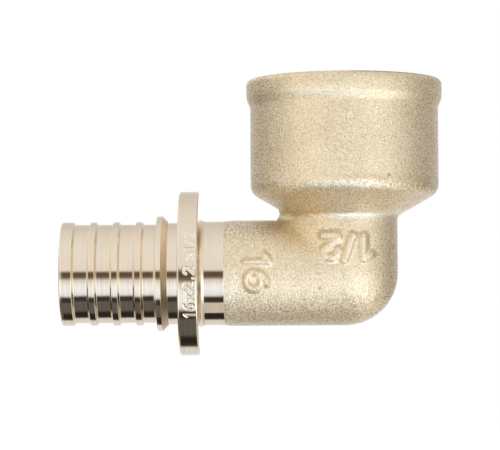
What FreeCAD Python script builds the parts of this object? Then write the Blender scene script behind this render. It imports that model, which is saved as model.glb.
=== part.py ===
"""Elbow fitting for a sliding-sleeve plastic pipe joint, forged and turned in one piece of brass.

The ribbed spigot points along -X and takes the expanded pipe; the sleeve is then pushed over the pipe
up to the collar. The internally threaded socket points along +Z. The origin is where the two axes meet.
All sizes are in millimetres.
"""

import FreeCAD
import Part
import math
import os

# Elbow forging
ARM_DIAMETER = 14.24  # outside of the arm, the corner ball and the neck under the socket
ARM_REACH = 16.2  # socket axis to the line where the turning of the spigot starts
ARM_EDGE_RUN = 0.4  # length of the bevel where the turning cut leaves the forging
LEVEL_BORE_DIAMETER = 10.0  # waterway through the spigot
LEVEL_BORE_REACH = 4.3  # socket axis to the drill point, on the far side
UPRIGHT_BORE_DIAMETER = 10.6  # waterway under the socket
UPRIGHT_BORE_REACH = 5.3  # spigot axis down to the drill point
DRILL_POINT_ANGLE = 118.0
CROTCH_RADIUS = 0.92  # rolling-ball fillet between the arm and the socket

# Spigot, in order from the elbow outwards
SHANK_DIAMETER = 14.0
SHANK_LENGTH = 3.35
SHANK_BEVEL = 0.6  # at the foot of the collar
COLLAR_DIAMETER = 22.1
COLLAR_THICKNESS = 2.7
COLLAR_CHAMFER = 0.2
SEAT_DIAMETER = 13.7
SEAT_LENGTH = 1.55
RING_DIAMETER = 15.5  # large rib that stops the pipe
RING_LAND = 0.7
RING_LEAD_FLANK = 0.25
RING_BACK_FLANK = 0.8
RING_GROOVE_LENGTH = 1.5
GROOVE_DIAMETER = 13.3
GROOVE_LENGTH = 1.8
RIB_DIAMETER = 14.0
RIB_COUNT = 3
RIB_LAND = 0.8
RIB_LEAD_FLANK = 0.2
RIB_BACK_FLANK = 0.28
END_LAND = 1.65  # wide first rib at the mouth of the spigot
END_BEVEL = 0.2
END_BORE_CHAMFER = 0.3

# Socket with a 1/2 inch pipe thread, whose helix is left out: the bore is at its major diameter
THREAD_DIAMETER = 20.955
THREAD_DEPTH = 13.2
THREAD_MOUTH_CHAMFER = 0.55
DRILL_DIAMETER = 18.6
DRILL_RUNOUT = 1.5  # drilled bore past the end of the thread
SOCKET_WALL = 2.25  # outside the thread
BEAD_PROUD = 0.52
BEAD_LAND = 2.6
BEAD_TAPER = 0.9
BEAD_TOP_ROUND = 0.75
BEAD_FACING = 0.12  # depth that the facing cut takes into the forged rounding
BEAD_FOOT_ROUND = 0.6
FLOOR_OVER_SHOULDER = 0.48  # corner of the shoulder to the lower end of the drilled bore
NECK_RISE = 0.46  # top of the arm to where the shoulder leaves the neck
SHOULDER_ANGLE = 30.0  # underside of the socket, from level
SHOULDER_ROUND = 1.95
NECK_FILLET = 0.85

# Construction of the crotch fillets
CROTCH_SECTIONS = 9
CROTCH_BITE = 0.05  # how far a fillet body reaches into the surfaces that it joins
CROTCH_OVERSWEEP = 5.0  # degrees round the arm past the place where a fillet ends
CROTCH_ROOT = 2.5  # depth of a fillet body behind its surface

ORIGIN = FreeCAD.Vector(0, 0, 0)
X_AXIS = FreeCAD.Vector(1, 0, 0)
Z_AXIS = FreeCAD.Vector(0, 0, 1)

ARM_RADIUS = ARM_DIAMETER / 2
SOCKET_RADIUS = THREAD_DIAMETER / 2 + SOCKET_WALL
SHOULDER_SLOPE = math.tan(math.radians(SHOULDER_ANGLE))
NECK_HEIGHT = ARM_RADIUS + NECK_RISE
# Level at which the line of the shoulder would meet the socket axis
SHOULDER_APEX = NECK_HEIGHT - ARM_RADIUS * SHOULDER_SLOPE
SHOULDER_HEIGHT = SHOULDER_APEX + SOCKET_RADIUS * SHOULDER_SLOPE
DRILL_FLOOR = SHOULDER_HEIGHT + FLOOR_OVER_SHOULDER
THREAD_FLOOR = DRILL_FLOOR + DRILL_RUNOUT
SOCKET_TOP = THREAD_FLOOR + THREAD_DEPTH


def drill_point(radius):
    """Length of the cone that a drill of this radius leaves."""
    return radius / math.tan(math.radians(DRILL_POINT_ANGLE / 2))


def rounded_outline(corners):
    """Closed wire through corners (point, radius), with a tangent arc at each corner that has a radius."""
    entries = []
    for index, (point, radius) in enumerate(corners):
        if not radius:
            entries.append((point, point, point))
            continue
        back = (corners[index - 1][0] - point).normalize()
        ahead = (corners[(index + 1) % len(corners)][0] - point).normalize()
        half_angle = back.getAngle(ahead) / 2
        reach = radius / math.tan(half_angle)
        centre = point + (back + ahead).normalize() * (radius / math.sin(half_angle))
        middle = centre + (point - centre).normalize() * radius
        entries.append((point + back * reach, middle, point + ahead * reach))
    edges = []
    for index, (start, middle, end) in enumerate(entries):
        if (end - start).Length > 1e-9:
            edges.append(Part.Arc(start, middle, end).toShape())
        edges.append(Part.LineSegment(end, entries[(index + 1) % len(entries)][0]).toShape())
    return Part.Wire(edges)


def turned(corners, axis, place):
    """Solid of revolution about an axis through the origin, from corners (along, radius, rounding)."""
    outline = rounded_outline([(place(along, radius), rounding) for along, radius, rounding in corners])
    return Part.Face(outline).revolve(ORIGIN, axis, 360)


def turned_on_x(corners):
    return turned(corners, X_AXIS, lambda along, radius: FreeCAD.Vector(along, 0, radius))


def turned_on_z(corners):
    return turned(corners, Z_AXIS, lambda along, radius: FreeCAD.Vector(radius, 0, along))


def spigot_corners():
    """Outline of the turned spigot, walked from the elbow to the mouth; returns it with the mouth's place."""
    shank, collar, seat = SHANK_DIAMETER / 2, COLLAR_DIAMETER / 2, SEAT_DIAMETER / 2
    ring, groove, rib = RING_DIAMETER / 2, GROOVE_DIAMETER / 2, RIB_DIAMETER / 2
    along = -ARM_REACH
    corners = [(0, 0, 0), (0, shank, 0)]
    along -= SHANK_LENGTH
    corners += [(along + SHANK_BEVEL, shank, 0), (along, shank + SHANK_BEVEL, 0)]
    corners += [(along, collar - COLLAR_CHAMFER, 0), (along - COLLAR_CHAMFER, collar, 0)]
    along -= COLLAR_THICKNESS
    corners += [(along + COLLAR_CHAMFER, collar, 0), (along, collar - COLLAR_CHAMFER, 0), (along, seat, 0)]
    along -= SEAT_LENGTH
    corners += [(along, seat, 0)]
    along -= RING_BACK_FLANK
    corners += [(along, ring, 0), (along - RING_LAND, ring, 0)]
    along -= RING_LAND + RING_LEAD_FLANK
    corners += [(along, groove, 0)]
    along -= RING_GROOVE_LENGTH
    for _ in range(RIB_COUNT):
        corners += [(along, groove, 0)]
        along -= RIB_BACK_FLANK
        corners += [(along, rib, 0), (along - RIB_LAND, rib, 0)]
        along -= RIB_LAND + RIB_LEAD_FLANK
        corners += [(along, groove, 0)]
        along -= GROOVE_LENGTH
    corners += [(along, groove, 0), (along - RIB_BACK_FLANK, rib, 0)]
    along -= RIB_BACK_FLANK + END_LAND
    corners += [(along + END_BEVEL, rib, 0), (along, rib - END_BEVEL, 0), (along, 0, 0)]
    return corners, along


def arm_and_corner():
    """Arm of the elbow, closed at the corner by a half ball of the same radius."""
    radius, shank = ARM_RADIUS, SHANK_DIAMETER / 2
    outline = [
        Part.LineSegment(FreeCAD.Vector(-ARM_REACH, 0, 0), FreeCAD.Vector(-ARM_REACH, 0, shank)),
        Part.LineSegment(FreeCAD.Vector(-ARM_REACH, 0, shank), FreeCAD.Vector(ARM_EDGE_RUN - ARM_REACH, 0, radius)),
        Part.LineSegment(FreeCAD.Vector(ARM_EDGE_RUN - ARM_REACH, 0, radius), FreeCAD.Vector(0, 0, radius)),
        Part.Arc(
            FreeCAD.Vector(0, 0, radius),
            FreeCAD.Vector(radius * math.sqrt(0.5), 0, radius * math.sqrt(0.5)),
            FreeCAD.Vector(radius, 0, 0),
        ),
        Part.LineSegment(FreeCAD.Vector(radius, 0, 0), FreeCAD.Vector(-ARM_REACH, 0, 0)),
    ]
    return Part.Face(Part.Wire([piece.toShape() for piece in outline])).revolve(ORIGIN, X_AXIS, 360)


def socket_outside():
    """Neck, sloping shoulder, socket wall and bead, with the top still forged round."""
    bead = SOCKET_RADIUS + BEAD_PROUD
    forged_top = SOCKET_TOP + BEAD_FACING
    taper_top = SOCKET_TOP - BEAD_LAND
    return turned_on_z(
        [
            (0, 0, 0),
            (0, ARM_RADIUS, 0),
            (NECK_HEIGHT, ARM_RADIUS, NECK_FILLET),
            (SHOULDER_HEIGHT, SOCKET_RADIUS, SHOULDER_ROUND),
            (taper_top - BEAD_TAPER, SOCKET_RADIUS, BEAD_FOOT_ROUND),
            (taper_top, bead, BEAD_FOOT_ROUND),
            (forged_top, bead, BEAD_TOP_ROUND),
            (forged_top, 0, 0),
        ]
    )


def crotch_section(angle, on_shoulder):
    """Section of a fillet body where the rolling ball stands at this angle round the arm.

    The ball touches the arm, and either the sloping shoulder or the neck. The arc is a little larger than
    the ball, so that its ends lie inside the two surfaces, and its root lies deep in the metal.
    """
    reach = ARM_RADIUS + CROTCH_RADIUS
    side, height = reach * math.sin(angle), reach * math.cos(angle)
    tilt = math.radians(SHOULDER_ANGLE) if on_shoulder else math.pi / 2
    distance = reach
    if on_shoulder:
        distance = (height + CROTCH_RADIUS / math.cos(tilt) - SHOULDER_APEX) / SHOULDER_SLOPE
    centre = FreeCAD.Vector(-math.sqrt(distance**2 - side**2), side, height)
    outward = FreeCAD.Vector(centre.x, centre.y, 0).normalize()
    to_arm = FreeCAD.Vector(0, -side, -height).normalize()
    to_socket = outward * -math.sin(tilt) + Z_AXIS * math.cos(tilt)
    middle = (to_arm + to_socket).normalize()
    radius = CROTCH_RADIUS + CROTCH_BITE
    start, end = centre + to_arm * radius, centre + to_socket * radius
    root = centre + middle * (radius + CROTCH_ROOT)
    arc = Part.Arc(start, centre + middle * radius, end).toShape()
    back = Part.LineSegment(end, root).toShape()
    front = Part.LineSegment(root, start).toShape()
    return Part.Wire([arc, back, front])


def crotch_end(on_shoulder):
    """Angle round the arm at which a crotch fillet ends.

    On the shoulder the ball then meets the neck. On the neck the two surfaces then meet so flatly that
    the body's arc, with its bite, lies wholly inside them.
    """
    if on_shoulder:
        reach = ARM_RADIUS + CROTCH_RADIUS
        level = SHOULDER_APEX + reach * SHOULDER_SLOPE
        return math.acos((level - CROTCH_RADIUS / math.cos(math.radians(SHOULDER_ANGLE))) / reach)
    tilt = math.acos(CROTCH_RADIUS / (CROTCH_RADIUS + CROTCH_BITE))
    return math.asin(math.sqrt(math.cos(2 * tilt)))


def crotch_fillet(on_shoulder):
    """Fillet in the crotch of the elbow, as a loft of the rolling ball's arcs round the arm."""
    sweep = crotch_end(on_shoulder) + math.radians(CROTCH_OVERSWEEP)
    step = 2 * sweep / (CROTCH_SECTIONS - 1)
    sections = [crotch_section(step * index - sweep, on_shoulder) for index in range(CROTCH_SECTIONS)]
    return Part.makeLoft(sections, True, False)


def waterway(mouth):
    """Level bore from the spigot's mouth, and upright bore from the socket, each with its drill point."""
    level, upright = LEVEL_BORE_DIAMETER / 2, UPRIGHT_BORE_DIAMETER / 2
    outside = 1.0
    level_bore = turned_on_x(
        [
            (mouth - outside, 0, 0),
            (mouth - outside, level + END_BORE_CHAMFER + outside, 0),
            (mouth + END_BORE_CHAMFER, level, 0),
            (LEVEL_BORE_REACH - drill_point(level), level, 0),
            (LEVEL_BORE_REACH, 0, 0),
        ]
    )
    upright_bore = turned_on_z(
        [
            (-UPRIGHT_BORE_REACH, 0, 0),
            (drill_point(upright) - UPRIGHT_BORE_REACH, upright, 0),
            (SOCKET_TOP, upright, 0),
            (SOCKET_TOP, 0, 0),
        ]
    )
    return level_bore.fuse(upright_bore)


def socket_bore():
    """Thread bore, drilled run-out with its cone, and the chamfer at the mouth."""
    thread, drill = THREAD_DIAMETER / 2, DRILL_DIAMETER / 2
    above = 1.0
    return turned_on_z(
        [
            (DRILL_FLOOR - drill_point(drill), 0, 0),
            (DRILL_FLOOR, drill, 0),
            (THREAD_FLOOR - (thread - drill), drill, 0),
            (THREAD_FLOOR, thread, 0),
            (SOCKET_TOP - THREAD_MOUTH_CHAMFER, thread, 0),
            (SOCKET_TOP + above, thread + THREAD_MOUTH_CHAMFER + above, 0),
            (SOCKET_TOP + above, 0, 0),
        ]
    )


def elbow_body():
    """The whole fitting as one solid."""
    corners, mouth = spigot_corners()
    forging = arm_and_corner().fuse([socket_outside(), crotch_fillet(True), crotch_fillet(False)])
    body = forging.fuse(turned_on_x(corners))
    facing = Part.makeCylinder(2 * SOCKET_RADIUS, SOCKET_RADIUS, Z_AXIS * SOCKET_TOP, Z_AXIS)
    body = body.cut([facing, waterway(mouth), socket_bore()])
    return body.removeSplitter()


def main():
    os.makedirs("parts", exist_ok=True)
    body = elbow_body()
    solid = body.Solids[0]
    print("solids", len(body.Solids), "valid", body.isValid(), "volume mm3", round(body.Volume, 1))
    box = body.BoundBox
    print("box", [round(v, 2) for v in (box.XMin, box.XMax, box.YMin, box.YMax, box.ZMin, box.ZMax)])
    solid.exportStep("parts/elbow_body.step")


main()
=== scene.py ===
"""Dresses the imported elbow: forged and turned body, the socket's thread, size marks and studio."""

import math
from types import SimpleNamespace

import bpy
import numpy as np
from bpy.props import FloatProperty, FloatVectorProperty, PointerProperty
from mathutils import Euler, Matrix


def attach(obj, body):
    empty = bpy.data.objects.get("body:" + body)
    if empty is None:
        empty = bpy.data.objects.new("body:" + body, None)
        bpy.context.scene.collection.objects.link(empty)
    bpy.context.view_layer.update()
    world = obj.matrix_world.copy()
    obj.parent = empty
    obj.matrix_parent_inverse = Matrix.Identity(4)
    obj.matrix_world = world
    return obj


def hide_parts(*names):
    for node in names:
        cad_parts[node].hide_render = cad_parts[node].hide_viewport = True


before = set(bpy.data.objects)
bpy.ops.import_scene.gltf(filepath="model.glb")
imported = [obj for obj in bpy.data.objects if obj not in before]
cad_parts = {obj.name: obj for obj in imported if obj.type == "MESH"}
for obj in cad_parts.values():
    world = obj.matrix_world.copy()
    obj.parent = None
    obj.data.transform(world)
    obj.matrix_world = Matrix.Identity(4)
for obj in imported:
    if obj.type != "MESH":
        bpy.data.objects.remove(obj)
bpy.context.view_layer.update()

bl_info = {
    "name": "Sleeve elbow",
    "version": (1, 0, 0),
    "blender": (4, 5, 0),
    "location": "3D View > Sidebar > Sleeve elbow",
    "description": "Builds a brass sleeve elbow with a ribbed spigot and a threaded socket, and its studio",
    "category": "Object",
}

MM = 0.001
BODY = "root"
NODE = "elbow_body"
FULL_TURN = 2 * math.pi


# ---------------------------------------------------------------- sizes and colours

def length(name, description, millimetres):
    """A length property, given in millimetres and kept in metres."""
    return FloatProperty(name=name, description=description, default=millimetres * MM,
                         min=0.0, precision=5, subtype="DISTANCE", unit="LENGTH")


def colour(name, description, red, green, blue):
    """A colour property in linear light."""
    return FloatVectorProperty(name=name, description=description, default=(red, green, blue),
                               min=0.0, max=1.0, size=3, subtype="COLOR")


def in_mm(group):
    """All lengths of a group in millimetres, under the same names."""
    return SimpleNamespace(**{name: getattr(group, name) / MM for name in group.__annotations__})


class ForgingSizes(bpy.types.PropertyGroup):
    """Sizes of the arm, the ball corner, the crotch and the socket's outside."""
    arm_radius: length("Arm radius", "Radius of the forged arm, the ball corner and the neck", 7.12)
    arm_reach: length("Arm reach", "From the socket's axis to the start of the forged arm", 16.25)
    arm_edge_run: length("Arm edge run", "Length of the step from the turned shank to the arm", 0.8)
    crotch_radius: length("Crotch radius", "Radius of the fillet between the arm and the socket", 0.92)
    neck_fillet: length("Neck fillet", "Radius where the neck runs into the shoulder", 0.85)
    shoulder_round: length("Shoulder round", "Radius where the shoulder runs into the wall", 1.95)
    shoulder_apex: length("Shoulder apex", "Height where the shoulder's cone would meet its axis", 3.4693)
    shoulder_height: length("Shoulder height", "Height of the corner between shoulder and wall", 10.8175)
    wall_radius: length("Wall radius", "Outer radius of the socket's wall", 12.7275)
    bead_radius: length("Bead radius", "Outer radius of the bead round the mouth", 13.2475)
    bead_start: length("Bead start", "Height where the wall starts to widen into the bead", 22.4)
    bead_foot: length("Bead foot", "Height where the bead's side starts", 23.475)
    bead_foot_round: length("Bead foot round", "Radius of both bends under the bead", 0.95)
    bead_taper: length("Bead taper", "How much narrower the bead's side is at its foot", 0.06)
    bead_full: length("Bead full height", "Height where the bead has its full radius", 24.3)
    bead_top_round: length("Bead top round", "Radius of the bead's outer top edge", 0.75)
    bead_facing: length("Bead facing", "How much facing took off the rounded top", 0.12)
    socket_top: length("Socket top", "Height of the faced mouth", 25.9975)


class SpigotSizes(bpy.types.PropertyGroup):
    """Sizes of the turned spigot, its collar and its shank."""
    shank_radius: length("Shank radius", "Radius of the turned shank behind the collar", 7.0)
    collar_radius: length("Collar radius", "Outer radius of the collar", 11.05)
    collar_back: length("Collar back", "From the socket's axis to the collar's back", 19.55)
    collar_front: length("Collar front", "From the socket's axis to the collar's front", 22.25)
    collar_edge: length("Collar edge", "Radius on both edges of the collar", 0.24)
    collar_fillet: length("Collar fillet", "Radius where the collar's back meets the shank", 0.7)
    seat_radius: length("Seat radius", "Radius of the seat in front of the collar", 6.85)
    ring_radius: length("Ring radius", "Radius of the tall ring next to the seat", 7.75)
    groove_radius: length("Groove radius", "Radius at the bottom of the grooves", 6.65)
    rib_radius: length("Rib radius", "Radius over the ribs", 7.0)
    spigot_end: length("Spigot end", "From the socket's axis to the spigot's end", 38.22)
    edge_round: length("Edge round", "Radius on the edges of ribs and ring", 0.06)


class BoreSizes(bpy.types.PropertyGroup):
    """Sizes of the waterway, the socket's bore and its thread."""
    level_radius: length("Level bore radius", "Radius of the bore through the spigot", 5.0)
    level_full: length("Level bore full end", "Where the level bore's full radius ends", 1.296)
    level_tip: length("Level bore tip", "Where the level bore's drill point ends", 4.3)
    mouth_chamfer: length("Mouth chamfer", "Chamfer inside the spigot's end", 0.3)
    upright_radius: length("Upright bore radius", "Radius of the bore under the socket", 5.3)
    upright_full: length("Upright bore full end", "Depth where its full radius ends", 2.115)
    upright_tip: length("Upright bore tip", "Depth where its drill point ends", 5.3)
    upright_top: length("Upright bore top", "Height where it meets the socket's floor", 8.894)
    drill_radius: length("Drill radius", "Radius drilled before threading", 9.3)
    drill_floor: length("Drill floor", "Height of the drilled floor's edge", 11.2975)
    drill_top: length("Drill top", "Height where the drilled wall widens to the thread", 11.62)
    thread_floor: length("Thread floor", "Height where the thread starts", 12.7975)
    thread_top: length("Thread top", "Height where the thread's wall ends", 25.4475)
    thread_mouth: length("Thread mouth radius", "Radius of the chamfered mouth", 11.0275)
    thread_radius: length("Thread radius", "Radius at the bottom of the thread's grooves", 10.4775)
    thread_pitch: length("Thread pitch", "From one turn of the thread to the next", 1.8143)


class MarkSizes(bpy.types.PropertyGroup):
    """Sizes of the raised and the stamped figures."""
    raised_height: length("Raised height", "How far the raised figures stand proud", 0.48)
    soft_edge: length("Soft edge", "Width of the raised figures' sloped sides", 0.72)
    stamp_depth: length("Stamp depth", "Depth of the size stamped on the collar", 0.11)
    stamp_width: length("Stamp width", "Width of its strokes at the surface", 0.4)
    stamp_tall: length("Stamp height", "Height of its figures", 1.33)
    stamp_wide: length("Stamp figure width", "Width of its figures", 0.92)
    stamp_foot: length("Stamp foot", "From the socket's axis to the line that its figures stand on", 19.98)


class FinishColours(bpy.types.PropertyGroup):
    """Colours of the brass."""
    turned: colour("Turned brass", "Bright machined surface", 0.815, 0.708, 0.572)
    stamped: colour("Stamped brass", "Bottom of the stamped figures", 1.0, 0.97, 0.9)
    forged: colour("Forged brass", "Blasted surface", 0.84, 0.705, 0.495)
    # random stains of the blasted surface, and painted shade in its bends, the crotch and on the cone
    forged_stain_and_shade: colour("Forged brass, deep", "Hollows and stains of the blasted surface", 0.62, 0.47, 0.28)


class StudioSizes(bpy.types.PropertyGroup):
    """Camera and stage."""
    focal_length: length("Focal length", "Camera lens", 200.26)
    distance: length("Distance", "From the camera to the part's middle plane", 376.0)
    floor_depth: length("Floor depth", "How far the floor lies under the origin", 45.0)
    floor_size: length("Floor size", "Side of the floor", 3000.0)


# ---------------------------------------------------------------- profiles and meshes

def softened(corners, steps=4):
    """A profile through the corners (a, b, rounding), each rounded by an arc that touches both legs.

    An arc of radius q in a bend of angle t starts q * tan(t / 2) before the corner. Its middle lies on
    the bend's bisector, q / cos(t / 2) from the corner, and its points are q away from that middle.
    """
    points = []
    flat = np.array([corner[:2] for corner in corners], float)
    for index, (_, _, rounding) in enumerate(corners):
        corner = flat[index]
        if rounding <= 0 or index in (0, len(corners) - 1):
            points.append(corner)
            continue
        before = corner - flat[index - 1]
        after = flat[index + 1] - corner
        before /= np.linalg.norm(before)
        after /= np.linalg.norm(after)
        turn = math.atan2(before[0] * after[1] - before[1] * after[0], before @ after)
        start = corner - before * rounding * math.tan(abs(turn) / 2)
        middle = start + np.array([-before[1], before[0]]) * math.copysign(rounding, turn)
        angles = np.linspace(0, turn, steps + 1)
        arm = start - middle
        points.extend(middle + np.stack([arm[0] * np.cos(angles) - arm[1] * np.sin(angles),
                                         arm[0] * np.sin(angles) + arm[1] * np.cos(angles)], axis=1))
    return np.array(points)


def subdivided(profile, spacing, low=-math.inf):
    """The profile with its long legs cut so that, beyond low of its first number, no step passes spacing."""
    rows = [profile[:1]]
    for start, end in zip(profile[:-1], profile[1:]):
        count = math.ceil(np.linalg.norm(end - start) / spacing) if max(start[0], end[0]) > low else 1
        rows.append(start + (end - start) * np.linspace(0, 1, max(1, count) + 1)[1:, None])
    return np.concatenate(rows)


def column_angles(sparse, dense, low, high, blend=0.12):
    """Angles round the section, from sparse to dense spacing where low < angle < high.

    The number of columns per radian is a sum of two smooth steps, and the angles are read where its
    running sum passes whole numbers.
    """
    fine = np.linspace(-math.pi, math.pi, 20001)
    inside = (np.tanh((fine - low) / blend) - np.tanh((fine - high) / blend)) / 2
    density = 1 / sparse + (1 / dense - 1 / sparse) * inside
    total = np.concatenate([[0], np.cumsum((density[1:] + density[:-1]) / 2 * np.diff(fine))])
    count = int(round(total[-1]))
    return np.interp(np.arange(count) * total[-1] / count, total, fine)


def turned_on_x(profile, angles):
    """Rows of a profile (x, radius) turned on the X axis: (x, radius * sin, -radius * cos)."""
    radius = profile[:, 1:]
    return np.stack([profile[:, :1] + 0 * angles, radius * np.sin(angles), -radius * np.cos(angles)], axis=-1)


def turned_on_z(profile, angles):
    """Rows of a profile (radius, z) turned on the Z axis: (radius * cos, radius * sin, z)."""
    radius = profile[:, :1]
    return np.stack([radius * np.cos(angles), radius * np.sin(angles), profile[:, 1:] + 0 * angles], axis=-1)


def grid_faces(rows, columns, close_rows=False):
    """Quads of a grid whose columns close on themselves, and its rows too where asked."""
    index = np.arange(rows * columns).reshape(rows, columns)
    if close_rows:
        index = np.concatenate([index, index[:1]])
    right = np.roll(index, -1, axis=1)
    return np.stack([index[:-1], right[:-1], right[1:], index[1:]], axis=-1).reshape(-1, 4)


def fan_faces(ring, middle):
    """Triangles from a ring of vertex numbers to one middle vertex."""
    return np.stack([ring, np.roll(ring, -1), np.full(len(ring), middle)], axis=-1)


def in_a_row(*groups):
    """All corner numbers of some groups of faces in a row, and the faces' side counts."""
    return (np.concatenate([group.ravel() for group in groups]),
            np.concatenate([np.full(len(group), group.shape[1]) for group in groups]))


def fill_mesh(name, points, corners, sides):
    """A mesh object from points in millimetres, the faces' corner numbers in a row and their side counts."""
    mesh = bpy.data.meshes.new(name)
    mesh.vertices.add(len(points))
    mesh.vertices.foreach_set("co", (points * MM).astype(np.float32).ravel())
    mesh.loops.add(len(corners))
    mesh.loops.foreach_set("vertex_index", corners.astype(np.int32))
    mesh.polygons.add(len(sides))
    mesh.polygons.foreach_set("loop_start", (np.cumsum(sides) - sides).astype(np.int32))
    mesh.update(calc_edges=True)
    mesh.validate()
    mesh.polygons.foreach_set("use_smooth", np.ones(len(mesh.polygons), bool))
    piece = bpy.data.objects.new(name, mesh)
    bpy.context.scene.collection.objects.link(piece)
    return piece


def read(items, name, kind=np.int32, width=1):
    """One property of all vertices, edges, corners or faces as an array, one row for each."""
    values = np.zeros(len(items) * width, kind)
    items.foreach_get(name, values)
    return values if width == 1 else values.reshape(-1, width)


def mesh_arrays(mesh):
    """Vertex places in millimetres, corner vertex numbers, and each face's first corner and side count."""
    return (read(mesh.vertices, "co", np.float32, 3).astype(float) / MM, read(mesh.loops, "vertex_index"),
            read(mesh.polygons, "loop_start"), read(mesh.polygons, "loop_total"))


def enclosed(mesh):
    """The volume that a closed mesh holds, from its triangles' corners: the sum of a . (b x c) / 6."""
    mesh.calc_loop_triangles()
    points = mesh_arrays(mesh)[0][read(mesh.loop_triangles, "vertices", width=3)]
    return float(np.einsum("ij,ij->", points[:, 0], np.cross(points[:, 1], points[:, 2])) / 6)


def outward(piece):
    """The closed piece with its faces pointing outward."""
    if enclosed(piece.data) < 0:
        piece.data.flip_normals()
    return piece


def check_closed(piece):
    """Raises an error unless every edge of the piece has two faces and its faces point outward."""
    mesh = piece.data
    edges = read(mesh.loops, "edge_index")
    uses = np.bincount(edges, minlength=len(mesh.edges))
    if not np.all(uses == 2):
        raise RuntimeError(f"{piece.name} has {int(np.sum(uses != 2))} edges without two faces")
    starts = read(mesh.edges, "vertices", width=2)[edges, 0]
    forward = np.bincount(edges, read(mesh.loops, "vertex_index") == starts, minlength=len(mesh.edges))
    if not np.all(forward == 1):
        raise RuntimeError(f"{piece.name} has {int(np.sum(forward != 1))} edges whose faces disagree")
    if enclosed(mesh) <= 0:
        raise RuntimeError(f"{piece.name} is inside out")


# ---------------------------------------------------------------- forging

GROIN_SOFTNESS = 2.2          # mm between arm and neck over which their groin is softened
GROIN_FADE = 2.0              # mm on either side of the socket's axis over which that softening ends
NEAR_ARM, NEAR_NECK = 2.0, 2.2     # ball radii from arm and neck within which the crotch fillet lies
PATH_POINTS, PATH_SHARE = 361, 0.999      # places of the rolling ball, and the share of its way they cover
WALK_STEPS, HALVINGS = 40, 26      # steps of a ray's walk, and halvings of the step where it leaves
# How many mm a ray goes at most: from the crotch ball's surface, a section's middle and the Z axis
CORNER_REACH, SECTION_REACH, NECK_REACH = 16.0, 18.0, 12.0
STRAIGHT = 4.0                # mm of straight wall that only gives a rounding its direction


def forging(sizes):
    """The forging's own numbers in millimetres, with the crotch ball's place worked out.

    The ball of the crotch fillet touches the arm and the shoulder's cone in the middle plane. Its
    centre is one radius above the arm, and one radius off the cone's line.
    """
    arm, ball, apex = sizes.arm_radius, sizes.crotch_radius, sizes.shoulder_apex
    corner, wall = sizes.shoulder_height, sizes.wall_radius
    slope = (corner - apex) / wall
    lean = math.hypot(1, slope)
    outline = softened([(arm, 0, 0), (arm, apex + slope * arm, sizes.neck_fillet),
                        (wall, corner, sizes.shoulder_round), (wall, corner + STRAIGHT, 0)], steps=12)
    shape = SimpleNamespace(arm=arm, ball=ball, apex=apex, slope=slope, lean=lean, outline=outline,
                            height=arm + ball, reach=(arm + ball - apex + ball * lean) / slope)
    shape.path = crotch_path(shape)
    return shape


def crotch_path(shape):
    """Centres of the ball that rolls between the arm and the socket, with the directions of both touches.

    At the width y the centre lies at z = sqrt((arm + ball)^2 - y^2). Its distance from the Z axis is
    one ball radius off the cone or off the neck, whichever is farther out, and x follows from both.
    """
    full = shape.height
    width = full * np.sin(np.linspace(-0.5, 0.5, PATH_POINTS) * math.pi * PATH_SHARE)
    height = np.sqrt(full**2 - width**2)
    off_cone = (height - shape.apex + shape.ball * shape.lean) / shape.slope
    radius = np.maximum(full, off_cone)
    along = -np.sqrt(radius**2 - width**2)
    centres = np.stack([along, width, height], axis=1)
    to_arm = np.stack([0 * along, -width, -height], axis=1) / full
    outward_way = np.stack([along, width], axis=1) / radius[:, None]
    to_cone = np.concatenate([-outward_way * shape.slope, np.ones((len(along), 1))], axis=1) / shape.lean
    to_neck = np.concatenate([-outward_way, np.zeros((len(along), 1))], axis=1)
    tangents = np.gradient(centres, axis=0)
    tangents /= np.linalg.norm(tangents, axis=1, keepdims=True)
    return centres, tangents, to_arm, np.where((off_cone > full)[:, None], to_cone, to_neck)


def forging_gap(points, shape):
    """Below nought inside the forging, above nought outside it.

    The arm is the set of points within one radius of the level axis up to the origin, so it ends in
    a ball. The neck and shoulder are turned on the Z axis. A point outside both, but behind the
    rolling ball as seen from its centre, is inside the crotch fillet.
    """
    x, y, z = points[..., 0], points[..., 1], points[..., 2]
    arm = np.sqrt(np.maximum(x, 0)**2 + y**2 + z**2) - shape.arm
    neck = np.where(z < 0, np.sqrt(x**2 + y**2 + z**2) - shape.arm,
                    np.hypot(x, y) - np.interp(z, shape.outline[:, 1], shape.outline[:, 0]))
    fade = np.clip((GROIN_FADE - x) / (2 * GROIN_FADE), 0, 1)
    soften = GROIN_SOFTNESS * np.clip(z / shape.arm, 1e-3, 1) * fade
    share = np.clip(1 - np.abs(arm - neck) / np.maximum(soften, 1e-6), 0, 1)
    gap = np.minimum(arm, neck) - share * share * soften / 4
    near = (gap > 0) & (x < 0) & (z > 0)
    near &= (arm < NEAR_ARM * shape.ball) & (neck < NEAR_NECK * shape.ball)
    if near.any():
        centres, tangents, to_arm, to_neck = shape.path
        some = points[near]
        apart = some[:, None, :] - centres[None, :, :]
        pick = np.argmin(np.einsum("ijk,ijk->ij", apart, apart), axis=1)
        way = apart[np.arange(len(some)), pick]
        way = way - tangents[pick] * np.sum(way * tangents[pick], axis=1, keepdims=True)
        one, two = to_arm[pick], to_neck[pick]
        between = np.sum(one * two, axis=1)
        along_one, along_two = np.sum(way * one, axis=1), np.sum(way * two, axis=1)
        behind = (along_one - between * along_two > 0) & (along_two - between * along_one > 0)
        gap[near] = np.where(behind, shape.ball - np.linalg.norm(way, axis=1), gap[near])
    return gap


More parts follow.
